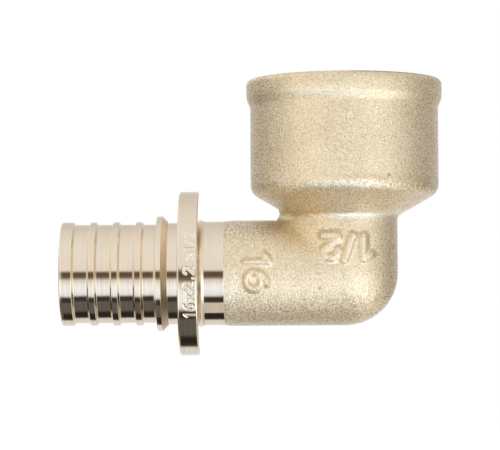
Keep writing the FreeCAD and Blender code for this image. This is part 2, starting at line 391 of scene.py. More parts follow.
def first_exit(starts, ways, reach, shape):
    """How far along each ray the forging's surface lies: a walk to the first step outside, then halving."""
    steps = np.linspace(0, 1, WALK_STEPS + 1)
    tries = starts[..., None, :] + ways[..., None, :] * (reach[..., None] * steps)[..., None]
    outside = forging_gap(tries, shape) > 0
    outside[..., -1] = True
    first = np.argmax(outside, axis=-1)
    low = reach * steps[np.maximum(first - 1, 0)]
    high = reach * steps[first]
    for _ in range(HALVINGS):
        middle = (low + high) / 2
        out = forging_gap(starts + ways * middle[..., None], shape) > 0
        high = np.where(out, middle, high)
        low = np.where(out, low, middle)
    return (low + high) / 2


def corner_rows(turns, angles, shape):
    """Sections of the corner by planes that fan out from the crotch ball's middle line.

    The plane at the angle t points along (sin t, 0, -cos t). Rays leave its middle in all directions
    round the section, and the surface lies where they leave the forging.
    """
    pivot = np.array([-shape.reach, 0, shape.height])
    down = np.stack([np.sin(turns), 0 * turns, -np.cos(turns)], axis=1)
    limit = np.full(len(turns), CORNER_REACH)
    far = first_exit(pivot + down * shape.height, down, limit, shape) + shape.height
    share = np.sin(turns)**2
    straight = shape.height * (1 - share) + shape.reach * share
    ease = np.clip(turns / (math.pi / 2), 0, 1)
    middle = straight + ((far + shape.ball) / 2 - straight) * 16 * (ease * (1 - ease))**2
    sideways = np.array([0, 1.0, 0])
    ways = down[:, None, :] * np.cos(angles)[None, :, None] + sideways * np.sin(angles)[None, :, None]
    starts = np.broadcast_to((pivot + down * middle[:, None])[:, None, :], ways.shape)
    reach = np.minimum(SECTION_REACH, middle[:, None] / np.maximum(-np.cos(angles), 1e-6)[None, :])
    return starts + ways * first_exit(starts, ways, reach, shape)[..., None]


# ---------------------------------------------------------------- raised and stamped figures

def arc(middle_a, middle_b, radius_a, radius_b, start, end, count):
    """Points of an arc, angles in degrees."""
    angles = np.radians(np.linspace(start, end, count))
    return np.stack([middle_a + radius_a * np.cos(angles), middle_b + radius_b * np.sin(angles)], axis=1)


# The pipe size 16, lying on its side: read downwards, tops towards the socket. Points are (x, z).
PIPE_SIZE = ([(-13.39, 1.26), (-10.16, 1.26)], [(-10.16, 1.41), (-10.78, 2.2)],
             arc(-12.23, -1.3, 1.0, 1.15, 0, 360, 25), arc(-12.23, -2.28, 1.9, 2.15, 90, 15, 12))
# The thread size 1/2, upside down: read right to left. Points are (x, z).
THREAD_SIZE = ([(2.45, 4.49), (2.45, 1.81)], [(2.6, 1.6), (3.36, 2.1)], [(1.03, 4.6), (-0.17, 1.41)],
               [(-3.01, 4.72), (-1.14, 4.7)], [(-0.98, 4.36), (-2.8, 2.85)],
               arc(-1.93, 2.6, 0.95, 0.85, 170, 370, 14))
RAISED_FIGURES = ((PIPE_SIZE, 0.38), (THREAD_SIZE, 0.52))      # strokes and half their width
FRONT_SIDE = -2.5             # mm: the raised figures are only on what lies in front of this y
FIGURES_START, FIGURES_END = -15.5, 5.5       # mm: no raised figure reaches farther left or right,
FIGURES_RISE = 7.0            # or farther up or down
LEFT_AND_UP = (-0.16, 0, 0.3)      # mm: the step over which their slope is taken

STAMPED_FIGURES = {
    "1": [[(0.2, 0.76), (0.55, 1.0), (0.55, 0.0)]],
    "2": [arc(0.5, 0.7, 0.42, 0.3, 165, -25, 10), [(0.88, 0.58), (0.06, 0.0), (0.96, 0.0)]],
    "6": [arc(0.5, 0.3, 0.42, 0.3, 0, 360, 17), [(0.08, 0.34), (0.2, 0.68), (0.48, 0.93), (0.82, 1.0)]],
    "x": [[(0.08, 0.02), (0.92, 0.68)], [(0.08, 0.68), (0.92, 0.02)]],
    "/": [[(0.12, -0.02), (0.88, 1.02)]],
    ".": [[(0.5, 0.03), (0.5, 0.09)]],
}
# The stamped figures and their angles in degrees up from the front.
STAMPED_SIZE = (("1", -32.0), ("6", -26.0), ("x", -18.8), ("2", -11.4), (".", -5.9),
                ("2", -0.7), ("x", 8.8), ("1", 14.4), ("/", 18.8), ("2", 24.8))
STAMP_REACH = (-36.0, 29.0)   # degrees up from the front that the fine field covers
STAMP_MARGIN = 0.3            # mm from the collar's faces to the fine field
STAMP_SPLIT, STAMP_ROWS = 3, 30     # fine columns to each wide one, and the fine field's rows


def stroke_distance(spots, strokes):
    """Distance from each spot (a, b) to the nearest stroke, each a line through points."""
    nearest = np.full(spots.shape[:-1], np.inf)
    for line in strokes:
        line = np.asarray(line, float)
        start, run = line[:-1], np.diff(line, axis=0)
        off = spots[..., None, :] - start
        share = np.clip(np.sum(off * run, axis=-1) / np.sum(run * run, axis=-1), 0, 1)
        nearest = np.minimum(nearest, np.linalg.norm(off - share[..., None] * run, axis=-1).min(axis=-1))
    return nearest


def figure_push(points, marks):
    """How far the surface is pushed out under the figures on its front, as a share of their height.

    The push is 1 inside a stroke and falls to 0 over the soft edge as 3 t^2 - 2 t^3.
    """
    push = np.zeros(points.shape[:-1])
    for strokes, half_width in RAISED_FIGURES:
        inside = half_width + marks.soft_edge / 2 - stroke_distance(points[..., [0, 2]], strokes)
        share = np.clip(inside / marks.soft_edge, 0, 1)
        push = np.maximum(push, share * share * (3 - 2 * share))
    return np.where(points[..., 1] < FRONT_SIDE, push, 0)


def raised(points, marks):
    """Pushes the front of the surface out towards -Y by the raised height under the figures."""
    moved = points.copy()
    moved[..., 1] -= figure_push(points, marks) * marks.raised_height
    return moved


def mark_figures(mesh, points, marks):
    """Writes how high each point stands on a figure, and how steeply that falls upwards and to the left, for
    the painted highlight and shade on the figures.
    """
    x, y, z = points.T
    near = (x > FIGURES_START) & (x < FIGURES_END) & (np.abs(z) < FIGURES_RISE) & (y < FRONT_SIDE)
    top, slope = np.zeros((2, len(points)), np.float32)
    top[near] = figure_push(points[near], marks)
    slope[near] = top[near] - figure_push(points[near] + LEFT_AND_UP, marks)
    for name, values in (("figure_top", top), ("figure_slope", slope)):
        mesh.attributes.new(name, "FLOAT", "POINT").data.foreach_set("value", values)


def stamped_size_strokes(marks, radius):
    """The size 16x2.2x1/2 round the collar, read upwards with its tops towards the spigot's mouth.

    Points are (x, arc length up from the front). Each figure stands at its own angle.
    """
    strokes = []
    for figure, angle in STAMPED_SIZE:
        start = radius * math.radians(angle) - marks.stamp_wide / 2
        for line in STAMPED_FIGURES[figure]:
            across, up = np.asarray(line, float).T
            strokes.append(np.stack([-marks.stamp_foot - marks.stamp_tall * up,
                                     start + marks.stamp_wide * across], axis=1))
    return strokes


def stamped_field(angles, low, high, radius, marks):
    """The collar's stamped field as a fine grid between two rows, with the size pressed into it.

    A point's radius is the collar's less the groove's depth. The groove is deepest on the stroke's
    line and rises to nought over half the stroke's width as 1 - 3 t^2 + 2 t^3.
    """
    along = np.linspace(low, high, STAMP_ROWS + 1)[:, None] + 0 * angles
    up = radius * (-math.pi / 2 - angles) + 0 * along
    away = stroke_distance(np.stack([along, up], axis=-1), stamped_size_strokes(marks, radius))
    share = np.clip(away / (marks.stamp_width / 2), 0, 1)
    deep = radius - marks.stamp_depth * (1 - 3 * share**2 + 2 * share**3)
    return np.stack([along, deep * np.sin(angles), -deep * np.cos(angles)], axis=-1)


def stamped_skin(outside, angles, turned, marks):
    """The outside grid with the fine stamped field let into the collar.

    Gives all points, the faces' corner numbers and their side counts. The faces round the field take
    its border points into their own sides, so that the surface stays closed.
    """
    rows, columns = outside.shape[:2]
    radius = turned.collar_radius
    off_edge = np.abs(outside[:, 0, 0] + turned.collar_front - STAMP_MARGIN)
    low = int(np.argmin(off_edge + np.abs(np.hypot(outside[:, 0, 1], outside[:, 0, 2]) - radius)))
    first, last = np.searchsorted(angles, [-math.pi / 2 - math.radians(end) for end in reversed(STAMP_REACH)])
    fine = np.interp(np.arange((last - first) * STAMP_SPLIT + 1) / STAMP_SPLIT,
                     np.arange(last - first + 1), angles[first:last + 1])
    field = stamped_field(fine, outside[low, 0, 0], outside[low + 1, 0, 0], radius, marks)
    index = np.arange(rows * columns).reshape(rows, columns)
    number = np.zeros(field.shape[:2], int)
    new = np.ones(number.shape, bool)
    new[[0, -1], ::STAMP_SPLIT] = False
    number[new] = rows * columns + np.arange(new.sum())
    number[0, ::STAMP_SPLIT] = index[low, first:last + 1]
    number[-1, ::STAMP_SPLIT] = index[low + 1, first:last + 1]
    quads = grid_faces(rows, columns).reshape(rows - 1, columns, 4)
    keep = np.ones(quads.shape[:2], bool)
    keep[low - 1:low + 2, first:last] = False
    keep[low, [first - 1, last]] = False
    inside = np.stack([number[:-1, :-1], number[:-1, 1:], number[1:, 1:], number[1:, :-1]], axis=-1)
    under, over = index[low - 1, first:last + 1], index[low + 2, first:last + 1]
    bottom, top = ([number[row, step::STAMP_SPLIT] for step in range(STAMP_SPLIT)] for row in (0, -1))
    below = [under[:-1], under[1:], bottom[0][1:], *reversed(bottom[1:]), bottom[0][:-1]]
    above = [top[0][:-1], *top[1:], top[0][1:], over[1:], over[:-1]]
    left = np.concatenate([[index[low, first - 1]], number[:, 0], [index[low + 1, first - 1]]])
    right = np.concatenate([[index[low, last + 1], index[low + 1, last + 1]], number[::-1, -1]])
    corners, sides = in_a_row(quads[keep], inside.reshape(-1, 4), np.stack(below, axis=-1),
                              np.stack(above, axis=-1), left[None, :], right[None, :])
    return np.concatenate([outside.reshape(-1, 3), field[new]]), corners, sides


# ---------------------------------------------------------------- body

# mm: radii at the mouth's outer edge, at both ends of the seat and where the arm starts
MOUTH_ROUND, SEAT_ROUND, ARM_ROUND = 0.2, 0.12, 0.8
FIRST_RIB = (1.65, 1.93)           # mm from the spigot's mouth to the end of the rib's top and of its slope
RIB_FEET = (3.73, 6.81, 9.89)      # mm from the mouth to the foot of each narrow rib
RIB_TOP = (0.2, 1.0, 1.28)         # mm from its foot to the start and end of its top, and to its other foot
RING_FOOT = 12.67                  # mm from the mouth to the foot of the tall ring
RING_TOP = (0.25, 0.95, 1.75)      # the same for the tall ring, whose back slopes
RING_EDGE = 1.4                    # the ring's edges are rounder than the ribs' by this factor
ARM_ROWS = ((0.145, -14.5), (0.8, -16.0))      # spacing of the arm's rows beyond each x
TURN_ROWS = ((36, 18), (85, 79), (90, 8))      # rows of the corner up to each angle in degrees
SOCKET_ROWS = 0.7                  # spacing of the socket's rows
NECK_ROWS, NECK_RUN = 8, 0.95      # rows over these mm above the corner
CROTCH_TOP = 1.0                   # mm above the corner that the crotch still reaches
SPARSE, DENSE = math.radians(2.45), math.radians(1.08)      # between columns behind, and on the front
DENSE_FROM, DENSE_TO = math.radians(-122), math.radians(-34)
THREAD_CLEARANCE = 0.05            # mm that the plain bore is wider than the thread's grooves
LEVEL_RING = -5.0                  # mm: x of an extra ring of the level bore, near where the bores cross
ON_RIM, SAME_PLACE = 1e-3, 5e-3    # mm within which a point lies in a mouth's plane, or on another point
SHARP = math.radians(32)           # bend between two faces from which their edge shades as sharp


def spigot_profile(forged, turned, bores, end):
    """Profile (x, radius) of the spigot, the collar, the shank and the arm, from the mouth to x = end."""
    edge, groove, rib, seat = turned.edge_round, turned.groove_radius, turned.rib_radius, turned.seat_radius
    ring, collar, shank = turned.ring_radius, turned.collar_radius, turned.shank_radius
    tip, arm_start = -turned.spigot_end, -forged.arm_reach
    front, back = -turned.collar_front, -turned.collar_back
    corners = [(tip, bores.level_radius + bores.mouth_chamfer, 0), (tip, rib, MOUTH_ROUND),
               (tip + FIRST_RIB[0], rib, edge), (tip + FIRST_RIB[1], groove, edge)]
    for step in RIB_FEET:
        foot = tip + step
        corners += [(foot, groove, edge), (foot + RIB_TOP[0], rib, edge),
                    (foot + RIB_TOP[1], rib, edge), (foot + RIB_TOP[2], groove, edge)]
    foot = tip + RING_FOOT
    corners += [(foot, groove, edge), (foot + RING_TOP[0], ring, edge * RING_EDGE),
                (foot + RING_TOP[1], ring, edge * RING_EDGE), (foot + RING_TOP[2], seat, SEAT_ROUND),
                (front, seat, SEAT_ROUND), (front, collar, turned.collar_edge),
                (front + STAMP_MARGIN, collar, 0), (back - STAMP_MARGIN, collar, 0),
                (back, collar, turned.collar_edge), (back, shank, turned.collar_fillet),
                (arm_start, shank, 0), (arm_start + forged.arm_edge_run, forged.arm_radius, ARM_ROUND),
                (end, forged.arm_radius, 0)]
    return softened(corners)


def socket_profile(forged, bores, shape):
    """Profile (radius, z) of the shoulder, the wall, the bead and the faced mouth, from the corner on."""
    wall, bead, top_round = forged.wall_radius, forged.bead_radius, forged.bead_top_round
    start, outline = shape.height, shape.outline
    middle = forged.socket_top + forged.bead_facing - top_round
    turn = np.linspace(0, math.asin((forged.socket_top - middle) / top_round), 7)
    rounded = np.stack([bead - top_round + top_round * np.cos(turn),
                        middle + top_round * np.sin(turn)], axis=1)
    foot = start + np.linspace(0, NECK_RUN, NECK_ROWS + 1)
    neck = np.stack([np.interp(foot, outline[:, 1], outline[:, 0]), foot], axis=1)
    low = outline[:-1][outline[:-1, 1] > start + CROTCH_TOP]
    high = softened([(wall, forged.bead_start - STRAIGHT, 0),
                     (wall, forged.bead_start, forged.bead_foot_round),
                     (bead - forged.bead_taper, forged.bead_foot, forged.bead_foot_round),
                     (bead, forged.bead_full, 0), (bead, middle, 0)], steps=6)[1:-1]
    rim = [[bores.thread_mouth, forged.socket_top]]
    return subdivided(np.concatenate([neck, low, high, rounded, rim]), SOCKET_ROWS)


def outer_rows(forged, turned, bores, marks, angles):
    """The body's whole outside as one grid: spigot and arm, corner, then shoulder, wall and rim."""
    shape = forging(forged)
    profile = spigot_profile(forged, turned, bores, -shape.reach)
    for spacing, low in ARM_ROWS:
        profile = subdivided(profile, spacing, low)
    spigot = turned_on_x(profile, angles)
    near = profile[:, 0] > FIGURES_START
    spigot[near] = raised(spigot[near], marks)
    turns, begin = [], 0
    for end, count in TURN_ROWS:
        turns.append(np.radians(np.linspace(begin, end, count + 1)[1:]))
        begin = end
    corner = raised(corner_rows(np.concatenate(turns), angles, shape), marks)
    upper = socket_profile(forged, bores, shape)[1:]
    socket = turned_on_z(upper, angles)
    low = upper[:, 1] < shape.height + CROTCH_TOP
    axis = np.zeros((int(low.sum()), len(angles), 3))
    axis[..., 2] = upper[low, 1][:, None]
    ways = np.broadcast_to(np.stack([np.cos(angles), np.sin(angles), 0 * angles], axis=1), axis.shape)
    away = first_exit(axis, ways, np.full(axis.shape[:-1], NECK_REACH), shape)
    socket[low] = axis + ways * away[..., None]
    return np.concatenate([spigot, corner, socket])


def closed_cutter(rows, mouth, tip):
    """A closed cutter from rings, the first round its mouth's middle and the last round its drill point."""
    count, columns = rows.shape[:2]
    first = np.arange(columns)
    points = np.concatenate([rows.reshape(-1, 3), [tip], [mouth]])
    faces = in_a_row(grid_faces(count, columns), fan_faces(first + (count - 1) * columns, count * columns),
                     fan_faces(first, count * columns + 1)[:, ::-1])
    return outward(fill_mesh("bore_cutter", points, *faces))


def bore_cutters(forged, turned, bores, angles):
    """Two closed cutters: the level bore with its drill point, and the socket with the upright bore."""
    end, top = -turned.spigot_end, forged.socket_top
    level = np.array([(end, bores.level_radius + bores.mouth_chamfer),
                      (end + bores.mouth_chamfer, bores.level_radius),
                      (LEVEL_RING, bores.level_radius), (bores.level_full, bores.level_radius)])
    thread = bores.thread_radius + THREAD_CLEARANCE
    socket = np.array([(bores.thread_mouth, top), (thread, bores.thread_top), (thread, bores.thread_floor),
                       (bores.drill_radius, bores.drill_top), (bores.drill_radius, bores.drill_floor),
                       (bores.upright_radius, bores.upright_top),
                       (bores.upright_radius, -bores.upright_full)])
    return (closed_cutter(turned_on_x(level, angles), (end, 0, 0), (bores.level_tip, 0, 0)),
            closed_cutter(turned_on_z(socket, angles), (0, 0, top), (0, 0, -bores.upright_tip)))


def joined_bores(cutters):
    """Both bore cutters made one closed surface, so that the drilled edges cross as they do in the metal."""
    level, socket = cutters
    union = level.modifiers.new("join", "BOOLEAN")
    union.operation = "UNION"
    union.solver = "EXACT"
    union.object = socket
    graph = bpy.context.evaluated_depsgraph_get()
    mesh = bpy.data.meshes.new_from_object(level.evaluated_get(graph))
    for piece in cutters:
        old = piece.data
        bpy.data.objects.remove(piece)
        bpy.data.meshes.remove(old)
    return mesh


def faces_without(corners, starts, sides, drop):
    """Corner numbers and side counts of the faces that stay, turned the other way round."""
    keep = ~drop
    order = np.repeat(starts[keep] + sides[keep] - 1, sides[keep])
    count = np.arange(sides[keep].sum()) - np.repeat(np.cumsum(sides[keep]) - sides[keep], sides[keep])
    return corners[order - count], sides[keep]


def weighted(piece):
    """Shades the piece by its larger faces, so that flats stay flat between their rounded edges."""
    modifier = piece.modifiers.new("even shading", "WEIGHTED_NORMAL")
    modifier.mode = "FACE_AREA"
    modifier.weight = 50
    modifier.keep_sharp = True


def sharpen(mesh, angle):
    """Marks the edges whose faces meet at more than angle, so that they shade as sharp."""
    sides = read(mesh.polygons, "loop_total")
    faces = np.repeat(np.arange(len(sides)), sides)
    normals = read(mesh.polygons, "normal", np.float32, 3)
    pairs = faces[np.argsort(read(mesh.loops, "edge_index"), kind="stable")].reshape(-1, 2)
    bend = np.sum(normals[pairs[:, 0]] * normals[pairs[:, 1]], axis=1)
    mesh.attributes.new("sharp_edge", "BOOLEAN", "EDGE").data.foreach_set("value", bend < math.cos(angle))


def make_body(forged, turned, bores, marks):
    """The whole outside grid and the joined bores, met at both mouths and made one closed mesh.

    Gives the body and the number of its outside faces, which come first.
    """
    angles = column_angles(SPARSE, DENSE, DENSE_FROM, DENSE_TO)
    outside = outer_rows(forged, turned, bores, marks, angles)
    rows, columns = outside.shape[:2]
    skin, outer_corners, outer_sides = stamped_skin(outside, angles, turned, marks)
    bore = joined_bores(bore_cutters(forged, turned, bores, angles))
    points, corners, starts, sides = mesh_arrays(bore)
    bpy.data.meshes.remove(bore)
    on_end = np.abs(points[:, 0] + turned.spigot_end) < ON_RIM
    on_top = np.abs(points[:, 2] - forged.socket_top) < ON_RIM
    cap = np.logical_and.reduceat(on_end[corners], starts) | np.logical_and.reduceat(on_top[corners], starts)
    corners, sides = faces_without(corners, starts, sides, cap)
    rims = np.concatenate([np.arange(columns), np.arange(columns) + (rows - 1) * columns])
    number = np.arange(len(points)) + len(skin)
    for ring in np.nonzero(on_end | on_top)[0]:
        gaps = np.linalg.norm(skin[rims] - points[ring], axis=1)
        if gaps.min() < SAME_PLACE:
            number[ring] = rims[np.argmin(gaps)]
    used = np.unique(number[corners])
    used = used[used >= len(skin)]
    packed = np.arange(len(skin) + len(points))
    packed[used] = len(skin) + np.arange(len(used))
    all_points = np.concatenate([skin, points[used - len(skin)]])
    piece = fill_mesh("forged_elbow", all_points, np.concatenate([outer_corners, packed[number[corners]]]),
                      np.concatenate([outer_sides, sides]))
    check_closed(piece)
    sharpen(piece.data, SHARP)
    mark_figures(piece.data, all_points, marks)
    return piece, len(outer_sides)


# ---------------------------------------------------------------- thread

HALF_FLANK = math.radians(27.5)
ROUND_SHARE, DEPTH_SHARE = 0.137329, 0.640327      # of the pitch: crest and groove arcs, and whole height
THREAD_COLUMNS, ROWS_PER_TURN = 168, 16
FADE_SHARE = 0.55             # of the pitch: height over which the ridges fade in at both ends
MOUTH_RIDGE = 0.3             # mm by which their fade at the mouth would run past the wall's end
BURIED = 0.35                 # mm that the ring's plain outside lies under the bore's wall


def thread_form(away, pitch):
    """Height of a pipe thread's ridge at the distance away from its crest, from 0 at the groove's bottom.

    The flanks slope at 55 degrees to each other. Crest and groove are arcs of 0.1373 of the pitch, and
    the whole form is 0.6403 of the pitch high.
    """
    radius, depth = ROUND_SHARE * pitch, DEPTH_SHARE * pitch
    flat = radius * math.cos(HALF_FLANK)
    straight = depth / 2 + (pitch / 4 - away) / math.tan(HALF_FLANK)
    crest = depth - radius + np.sqrt(np.maximum(radius**2 - away**2, 0))
    bottom = radius - np.sqrt(np.maximum(radius**2 - (pitch / 2 - away)**2, 0))
    return np.where(away < flat, crest, np.where(away > pitch / 2 - flat, bottom, straight))


def make_thread(bores):
    """The socket's thread as a closed ring: ridges inside, a plain wall buried in the body outside.

    The inner radius at the angle a and the height z is the groove's radius less the ridge height, and
    the ridges climb one pitch in a turn. They fade in over half a turn at the mouth's chamfer and at
    the run-out.
    """
    pitch, low, high, root = bores.thread_pitch, bores.thread_floor, bores.thread_top, bores.thread_radius
    heights = np.linspace(low, high, int((high - low) / pitch * ROWS_PER_TURN) + 1)[:, None]
    angles = np.arange(THREAD_COLUMNS) / THREAD_COLUMNS * FULL_TURN
    phase = (heights / pitch - angles / FULL_TURN) % 1.0
    fade = np.minimum(np.clip((heights - low) / (FADE_SHARE * pitch), 0, 1),
                      np.clip((high + MOUTH_RIDGE - heights) / (FADE_SHARE * pitch), 0, 1))
    radius = root - np.minimum(thread_form(np.abs(phase - 0.5) * pitch, pitch), DEPTH_SHARE * pitch * fade)
    inner = np.stack([radius * np.cos(angles), radius * np.sin(angles), heights + 0 * angles], axis=-1)
    cover = turned_on_z(np.array([(root + BURIED, high), (root + BURIED, low)]), angles)
    rows = np.concatenate([inner, cover])
    faces = in_a_row(grid_faces(len(rows), THREAD_COLUMNS, close_rows=True))
    piece = outward(fill_mesh("thread_ring", rows.reshape(-1, 3), *faces))
    check_closed(piece)
    return piece


# ---------------------------------------------------------------- materials

class Wire:
    """A value in a shader: + - * and ** on it add the Math nodes."""

    def __init__(self, bench, socket):
        self.bench = bench
        self.socket = socket

    def math(self, operation, *values):
        """A Math node of one operation."""
        return self.bench.node("ShaderNodeMath", {"operation": operation}, dict(enumerate(values)))

    def rising(self, low, high, start=0.0, end=1.0):
        """0 below low, 1 above high, straight between."""
        return self.bench.node("ShaderNodeMapRange", {"clamp": True},
                               {"Value": self, "From Min": low, "From Max": high,
                                "To Min": start, "To Max": end})

    def falling(self, low, high):
        """1 below low, 0 above high, straight between."""
        return self.rising(low, high, 1.0, 0.0)


# The operators, and the reflected forms that let a number stand first.
for name, operation in (("add", "ADD"), ("sub", "SUBTRACT"), ("mul", "MULTIPLY"), ("pow", "POWER")):
    setattr(Wire, f"__{name}__", lambda one, two, kind=operation: one.math(kind, one, two))
    setattr(Wire, f"__r{name}__", lambda one, two, kind=operation: one.math(kind, two, one))


class Bench:
    """The nodes of one material or world."""

    def __init__(self, tree):
        self.tree = tree
        tree.nodes.clear()

    def node(self, kind, settings=None, values=None, output=0):
        """A node of any kind: its settings first, then the values or links of its sockets.

        Gives the output of that name or number, or one wire each where output is a tuple.
        """
        made = self.tree.nodes.new(kind)
        for name, value in (settings or {}).items():
            if name == "stops":
                self.set_stops(made.color_ramp, value)
            else:
                setattr(made, name, value)
        for name, value in (values or {}).items():
            self.plug(made.inputs[name], value)
        if isinstance(output, tuple):
            return [Wire(self, made.outputs[name]) for name in output]
        return Wire(self, made.outputs[output]) if len(made.outputs) else made

    def plug(self, socket, value):
        """Links a wire to a socket, or sets the socket's own value."""
        if isinstance(value, Wire):
            self.tree.links.new(value.socket, socket)
        elif isinstance(value, (tuple, list)) and len(value) == 3 and len(socket.default_value) == 4:
            socket.default_value = (*value, 1.0)
        else:
            socket.default_value = value

    def set_stops(self, ramp, stops):
        """Colour stops of a ramp: a list of (place, colour)."""
        while len(ramp.elements) > 1:
            ramp.elements.remove(ramp.elements[-1])
        for index, (place, shade) in enumerate(stops):
            element = ramp.elements[0] if index == 0 else ramp.elements.new(place)
            element.position = place
            element.color = (*shade, 1.0)

    def mixed(self, share, first, second):
        """Two colours mixed by a share."""
        return self.node("ShaderNodeMix", {"data_type": "RGBA"}, {0: share, 6: first, 7: second}, 2)

    def place(self):
        """Object coordinates as a vector and as separate x, y, z, in millimetres."""
        spot = self.node("ShaderNodeTexCoord", output="Object")
        spot = self.node("ShaderNodeVectorMath", {"operation": "SCALE"}, {0: spot, "Scale": 1 / MM})
        return spot, self.node("ShaderNodeSeparateXYZ", None, {0: spot}, (0, 1, 2))

    def noise(self, vector, scale, detail=2.0, roughness=0.5):
        """Noise from 0 to 1."""
        return self.node("ShaderNodeTexNoise", {"noise_dimensions": "3D"},
                         {"Vector": vector, "Scale": scale, "Detail": detail, "Roughness": roughness})

    def finish(self, shader):
        """Sends the shader to the output."""
        self.node("ShaderNodeOutputMaterial", None, {"Surface": shader})

    def surface(self, tint, metallic, roughness, **more):
        """A Principled surface, sent to the output."""
        self.finish(self.node("ShaderNodeBsdfPrincipled", None,
                              {"Base Color": tint, "Metallic": metallic, "Roughness": roughness, **more}))


def zone(values, windows):
    """How far a spot lies inside a zone: the product of its windows.

    A window names a value, where it fades in and where it fades out again, or None for no end there.
    """
    shares = []
    for name, (fade_in, fade_out) in windows.items():
        shares += [values[name].rising(*fade_in)] if fade_in else []
        shares += [values[name].falling(*fade_out)] if fade_out else []
    return math.prod(shares[1:], start=shares[0])


def times(shade, share):
    """A colour made darker."""
    return tuple(share * part for part in shade)


def new_material(name):
    """An empty material and its bench."""
    material = bpy.data.materials.new(name)
    material.use_nodes = True
    return material, Bench(material.node_tree)


# x where the turned brass is duller: the fillet behind the collar, and the tall ring's sloped back
DULL_BANDS = ((-19.3, -18.85), (-24.62, -23.82))
DULL_EDGE = 0.03


def turned_brass(colours, axis):
    """Bright machined brass: fine rings left by the tool, along the axis that it was turned on."""
    material, bench = new_material("turned_brass_" + axis)
    spot, (x, y, z) = bench.place()
    along = x if axis == "x" else z
    rings = bench.noise(bench.node("ShaderNodeCombineXYZ", None, {"X": along * 4.2}), 1.0, 2.0, 0.7)
    streak = rings.rising(0.42, 0.66)
    blur = bench.noise(spot, 0.35, 2.0).rising(0.35, 0.7)
    tint = bench.mixed(blur * 0.6, tuple(colours.turned), times(colours.turned, 0.94))
    # the tool's rings as darker streaks, stronger towards the bottom
    tint = bench.mixed(streak * (0.1 + z.falling(-1.0, 1.0) * 0.4), tint, times(colours.turned, 0.55))
    bump = bench.node("ShaderNodeBump", None, {"Strength": 0.25, "Distance": 0.00005, "Height": rings})
    rough = 0.04 + streak * 0.09
    if axis == "x":
        for low, high in DULL_BANDS:
            rough = rough + zone({"x": x}, {"x": ((low, low + DULL_EDGE), (high - DULL_EDGE, high))}) * 0.3
    bench.surface(tint, 1.0, rough, Normal=bump)
    return material


def stamped_brass(colours):
    """The rough bright bottom of the stamped figures."""
    material, bench = new_material("stamped_brass")
    grain = bench.noise(bench.place()[0], 3.0, 1.0).rising(0.3, 0.7)
    tint = bench.mixed(grain * 0.5, tuple(colours.stamped), times(colours.stamped, 0.8))
    bench.surface(tint, 0.0, 0.5)
    return material


# Zones of the forging by x and z in millimetres. These take a share of the stain-and-shade colour as painted
# shade:
# the bead's top, the arm's top beside the crotch, and the bend between shoulder and wall.
PAINTED_SHADE_ZONES = (
    (0.3, {"z": ((24.4, 25.4), None)}),
    (0.55, {"z": ((3.4, 6.6), (7.3, 7.6)), "x": (None, (-9.0, -7.5))}),
    (0.42, {"z": ((10.6, 11.2), (12.2, 12.8)), "x": ((-1.5, 0.5), None)}),
)
CONE = ((7.2, 8.2), (11.0, 12.0))
# These paint light and shade, each a share of a colour of their own, or of the stain-and-shade colour where
# it is None:
# painted light on the cone's middle, painted shade on its right side, and painted highlights on the neck's
# top, on the arm's start under the shank, and on the left half of the bead's foot.
PAINTED_LIGHT_ZONES = (
    (0.5, (1.0, 0.93, 0.78), {"z": CONE, "x": ((-6.0, -2.0), (3.0, 6.0))}),
    (0.4, None, {"z": CONE, "x": ((8.0, 11.5), None)}),
    (0.6, (1.0, 1.0, 0.96), {"z": ((6.4, 7.4), (8.0, 8.8)), "x": ((-3.0, -0.5), None)}),
    (0.6, (1.0, 0.95, 0.84), {"x": (None, (-15.2, -14.0)), "z": (None, (-3.0, 1.0))}),
    (0.6, (1.0, 0.93, 0.78), {"z": ((22.5, 23.3), (23.6, 24.5)), "x": ((-9.0, -6.0), (-2.0, 4.0))}),
)
# The grain, partly the blasted surface's own tone and partly painted glints, is stronger on the arm's
# underside, the wall's and the corner's flanks and the cone, where they lie in shade.
GRAIN_AND_GLINT_ZONES = (
    (0.6, {"z": (None, (-5.0, -2.5))}),
    (0.6, {"|x|": ((7.0, 12.0), None), "z": ((3.0, 6.0), None)}),
    (0.75, {"x": ((4.0, 7.0), None), "z": (None, (3.0, 6.0))}),
    (0.4, {"z": CONE}),
)
GRAIN_PLAIN = 0.4
# painted shade in the crotch, where the arm runs into the neck
PAINTED_CROTCH_SHADE = (0.76, 0.53, 0.27)
RIM_LINE = (0.65, (0.25, 0.19, 0.12), {"z": ((25.8, 25.88), None), "x": ((0.0, 2.0), None)})
# dark specks painted round these places (x, y, z in mm)
DARK_SPECKS = ((5.78, -11.34, 12.38), (-3.48, -6.71, -2.38))


